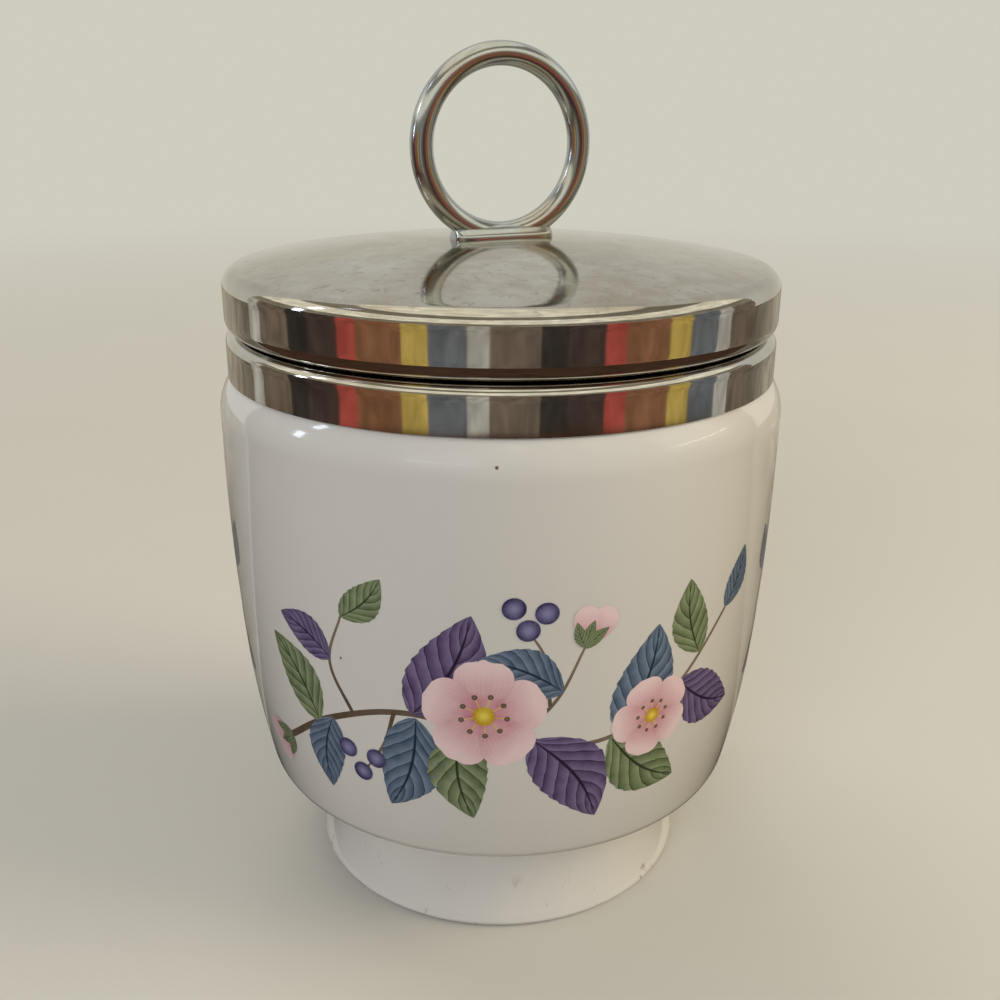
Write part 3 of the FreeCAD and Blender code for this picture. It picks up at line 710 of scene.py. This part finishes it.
# Heading in degrees from the camera, then the low card, the wall and the glow overhead
def cardRun():
    back = (studio["backCard"], studio["backCard"], studio["glowCard"])
    run = [(-180, *back)]
    heading = -rows["front"]
    while heading < rows["front"]:
        step = len(run)
        tone = cardTones[step * 3 % len(cardTones)]
        run.append((heading, tone, tone, studio["glowCard"]))
        heading += cardWidths[step % len(cardWidths)]
    return run + [(rows["front"], *back)]


cards = cardRun()


def stageSheet(name, points, faces, materials, chosen=None):
    mesh = bpy.data.meshes.new(name)
    mesh.from_pydata(points, [], faces)
    for material in materials:
        mesh.materials.append(material)
    if chosen:
        mesh.polygons.foreach_set("material_index", chosen)
    mesh.shade_smooth()
    sheet = bpy.data.objects.new(name, mesh)
    bpy.context.scene.collection.objects.link(sheet)
    return sheet


def paleSweep():
    material, tree, shader = newMaterial("studio_paper")
    place = addNode(tree, "ShaderNodeTexCoord").outputs["Object"]
    fibre = addNode(tree, "ShaderNodeTexNoise", values={"Scale": perMillimetres(40.0), "Detail": 3.0},
                    links={"Vector": place})
    tone = addNode(tree, "ShaderNodeMix", {"data_type": "RGBA"},
                   {6: linear(studio["floor"]), 7: linear(studio["fibre"])},
                   {0: fibre.outputs["Fac"]})
    rays = addNode(tree, "ShaderNodeLightPath")
    bounced = addNode(tree, "ShaderNodeMix", {"data_type": "RGBA"}, {7: linear(studio["bounce"])},
                      {0: rays.outputs["Is Diffuse Ray"], 6: tone.outputs[2]})
    tree.links.new(bounced.outputs[2], shader.inputs["Base Color"])
    shader.inputs["Roughness"].default_value = 0.9
    shader.inputs["Specular IOR Level"].default_value = 0.1
    # Far out and up the sweep the camera and the mirrors see an even pale tone
    away = addNode(tree, "ShaderNodeVectorMath", {"operation": "LENGTH"}, links={0: place}).outputs["Value"]
    onWall = addNode(tree, "ShaderNodeMapRange", {"interpolation_type": "SMOOTHSTEP"}, {1: 0.12, 2: 0.8},
                     {0: away})
    seen = addNode(tree, "ShaderNodeMath", {"operation": "MAXIMUM"},
                   links={0: rays.outputs["Is Camera Ray"], 1: rays.outputs["Is Glossy Ray"]})
    share = addNode(tree, "ShaderNodeMath", {"operation": "MULTIPLY"},
                    links={0: onWall.outputs[0], 1: seen.outputs[0]})
    even = addNode(tree, "ShaderNodeEmission", values={"Color": linear(studio["backdrop"])})
    mixed = addNode(tree, "ShaderNodeMixShader",
                    links={0: share.outputs[0], 1: shader.outputs[0], 2: even.outputs[0]})
    tree.links.new(mixed.outputs[0], tree.nodes["Material Output"].inputs["Surface"])
    flat = studio["floorRadius"]
    sweep = [(0.0, 0.0), (0.2, 0.0), (0.6, 0.0)]
    sweep += [(flat + studio["sweep"] * math.sin(math.radians(a)),
               studio["sweep"] * (1 - math.cos(math.radians(a)))) for a in range(0, 91, 6)]
    sweep.append((flat + studio["sweep"], studio["wall"]))
    around = 96
    points = [(r * math.cos(2 * math.pi * i / around), r * math.sin(2 * math.pi * i / around), z)
              for i in range(around) for r, z in sweep]
    count = len(sweep)
    faces = [(i * count + j, (i + 1) % around * count + j, (i + 1) % around * count + j + 1,
              i * count + j + 1)
             for i in range(around) for j in range(count - 1)]
    return stageSheet("studio_sweep", points, faces, [material])


# The cards light only reflections: a ring on the floor, a wall, and over the front a dim strip, a
# bright line, a second dim strip and a glow that reaches overhead
def cardMaterial(name, colour, back=False):
    material, tree, shader = newMaterial(name)
    place = addNode(tree, "ShaderNodeTexCoord").outputs["Object"]
    folds = addNode(tree, "ShaderNodeTexNoise",
                    values={"Scale": perMillimetres(26.0), "Detail": 2.0, "Distortion": 1.2},
                    links={"Vector": place})
    shade = addNode(tree, "ShaderNodeMapRange",
                    values={1: 0.35, 2: 0.65, 3: studio["glow"] * studio["folds"], 4: studio["glow"]},
                    links={0: folds.outputs["Fac"]})
    shader.inputs["Base Color"].default_value = linear(studio["cardSheet"])
    shader.inputs["Specular IOR Level"].default_value = 0.0
    shader.inputs["Emission Color"].default_value = linear(colour)
    strength = shade.outputs[0]
    if back:
        # Behind the object the cards fade in from the edges of the front ones
        ahead = math.radians(studio["headings"])
        turned = addNode(tree, "ShaderNodeVectorMath", {"operation": "DOT_PRODUCT"},
                         {1: (math.cos(ahead) / studio["cardRadius"], math.sin(ahead) / studio["cardRadius"],
                              0.0)},
                         {0: place})
        grown = addNode(tree, "ShaderNodeMapRange", {"interpolation_type": "SMOOTHSTEP"},
                        {1: -0.37, 2: -0.75, 3: 0.4, 4: 1.0}, {0: turned.outputs["Value"]})
        strength = addNode(tree, "ShaderNodeMath", {"operation": "MULTIPLY"},
                           links={0: shade.outputs[0], 1: grown.outputs[0]}).outputs[0]
    tree.links.new(strength, shader.inputs["Emission Strength"])
    return material


def mirrorCards():
    materials = [cardMaterial(f"studio_card_{level}_{card[0] + 180}", card[level],
                              level < 3 and not -rows["front"] <= card[0] < rows["front"])
                 for level in (1, 2, 3) for card in cards]
    materials += [cardMaterial(f"studio_card_floor_{card[0] + 180}", studio["floorCard"]) for card in cards]
    materials += [cardMaterial(f"studio_card_fade_{card[0] + 180}", studio["stripCard"]) for card in cards]
    points = []
    sheets = {"front": [], "back": [], "high": []}
    reach = studio["cardRadius"]
    for step in range(361):
        heading = step - 180
        angle = math.radians(heading + studio["headings"])
        front = abs(heading) < rows["front"]
        wallTop = studio["backTo"]
        if front:
            wallTop = studio["cardMiddle"] + reach * math.sin(math.radians(rows["wallTo"]))
        spots = [(studio["cardInside"], studio["cardFloor"]), (reach, studio["cardFloor"]),
                 (reach, studio["lowTo"]), (reach, wallTop)]
        for edge in ("wallTo", "fadeTo", "lineTo", "darkTo", "glowFrom", "glowTo"):
            rise = math.radians(rows[edge])
            spots.append((reach * math.cos(rise) + 1e-5, studio["cardMiddle"] + reach * math.sin(rise)))
        points += [(r * math.cos(angle), r * math.sin(angle), z) for r, z in spots]
        if step == 360:
            continue
        card = max(i for i, card in enumerate(cards) if card[0] <= heading)
        side = "front" if front else "back"
        # First point of the strip, then its material: 0 low, 1 wall, 2 glow, 3 floor, 4 dim strip
        for j, level, where in ((0, 3 if front else 0, side), (1, 0, side), (2, 1, side),
                                (4, 4, "front"), (5, 2, "front"), (6, 4, "front"), (7, 2, "high"),
                                (8, 2, "high")):
            if 4 <= j <= 6 and not front:
                continue
            a = 10 * step + j
            sheets[where].append(((a, a + 10, a + 11, a + 1), level * len(cards) + card))
    metal = (lid, collar, band, tang, ring, saddle)
    receivers = {"front": metal, "back": (*metal, cup, garlandPrint), "high": metal}
    for side, quads in sheets.items():
        sheet = stageSheet(f"studio_cards_{side}", points, [quad for quad, level in quads], materials,
                           [level for quad, level in quads])
        sheet.visible_camera = False
        sheet.visible_diffuse = False
        sheet.visible_shadow = False
        sheet.light_linking.receiver_collection = litBy(f"studio_cards_{side}_on", receivers[side])


# The pieces that one card or lamp is for
def litBy(name, pieces):
    group = bpy.data.collections.new(name)
    for piece in pieces:
        group.objects.link(piece)
    return group


def softbox(name, place, target, size, power, colour, pieces=()):
    lamp = bpy.data.lights.new(name, "AREA")
    lamp.shape = "RECTANGLE"
    lamp.size, lamp.size_y = size
    lamp.energy = power
    lamp.color = linear(colour)[:3]
    light = bpy.data.objects.new(name, lamp)
    light.location = place
    light.rotation_euler = (Vector(target) - Vector(place)).to_track_quat("-Z", "Y").to_euler()
    light.visible_camera = False
    if pieces:
        light.light_linking.receiver_collection = litBy(f"{name}_on", pieces)
    bpy.context.scene.collection.objects.link(light)


sweep = paleSweep()
mirrorCards()
matt = (cup, cementFill, garlandPrint, sweep)
softbox("key_softbox", (0.85, -0.5, 0.5), (0, 0, 0.05), (0.6, 0.6), 7.0, "#fff3da", matt)
softbox("fill_softbox", (-0.8, -0.75, 0.45), (0, 0, 0.05), (0.6, 0.6), 5.6, "#eaf0ff", matt)
softbox("top_softbox", (-0.1, 0.55, 1.2), (0, 0, 0.05), (0.8, 0.5), 3.5, "#fffaf2", matt)
glossy = (cup, garlandPrint, lid, collar, ring, saddle)
# Small lamps that give the gloss its glints: heading, height and power
lamps = {"radius": 0.2, "size": (0.014, 0.03), "aim": (0, 0, 0.06), "cool": "#dfeaff", "warm": "#fff2dc",
         "places": [(-80, 0.12, 0.012), (-80, 0.19, 0.012), (-80, 0.3, 0.014), (-101, 0.24, 0.008),
                    (6, 0.25, 0.01), (38, 0.22, 0.006)]}
for i, (heading, rise, power) in enumerate(lamps["places"]):
    angle = math.radians(heading + studio["headings"])
    spot = (lamps["radius"] * math.cos(angle), lamps["radius"] * math.sin(angle), rise)
    softbox(f"ceiling_lamp_{i}", spot, lamps["aim"], lamps["size"], power,
            lamps["cool"] if heading < 0 else lamps["warm"], glossy)

world = bpy.data.worlds.new("studio_air")
world.use_nodes = True
air = world.node_tree
rays = addNode(air, "ShaderNodeLightPath")
seen = addNode(air, "ShaderNodeMath", {"operation": "MAXIMUM"},
               links={0: rays.outputs["Is Glossy Ray"], 1: rays.outputs["Is Transmission Ray"]})
shown = addNode(air, "ShaderNodeMath", {"operation": "MAXIMUM"},
                links={0: seen.outputs[0], 1: rays.outputs["Is Camera Ray"]})
strength = addNode(air, "ShaderNodeMapRange", values={3: studio["airOnObject"], 4: studio["airInMirrors"]},
                   links={0: shown.outputs[0]})
air.nodes["Background"].inputs["Color"].default_value = linear(studio["air"])
air.links.new(strength.outputs[0], air.nodes["Background"].inputs["Strength"])
bpy.context.scene.world = world

# The camera stands where the photograph's outlines put it: 24 degrees left of the ring's face
view = {"azimuth": -24.0, "distance": 129.4, "height": 92.4, "pitch": 20.08, "roll": 0.355, "lens": 40.14}
lens = bpy.data.cameras.new("photo_camera")
lens.sensor_width = 36.0
lens.lens = view["lens"]
lens.clip_start = 0.01
camera = bpy.data.objects.new("photo_camera", lens)
aim = (Matrix.Rotation(math.radians(view["azimuth"]), 4, "Z")
       @ Matrix.Rotation(math.radians(90 - view["pitch"]), 4, "X")
       @ Matrix.Rotation(math.radians(view["roll"]), 4, "Z"))
stand = Matrix.Rotation(math.radians(view["azimuth"]), 3,
                        "Z") @ Vector((0, -view["distance"], view["height"]))
camera.matrix_world = Matrix.Translation(stand * millimetre) @ aim
bpy.context.scene.collection.objects.link(camera)
bpy.context.scene.camera = camera
bpy.context.scene.view_settings.view_transform = "Standard"
print("studio lit")
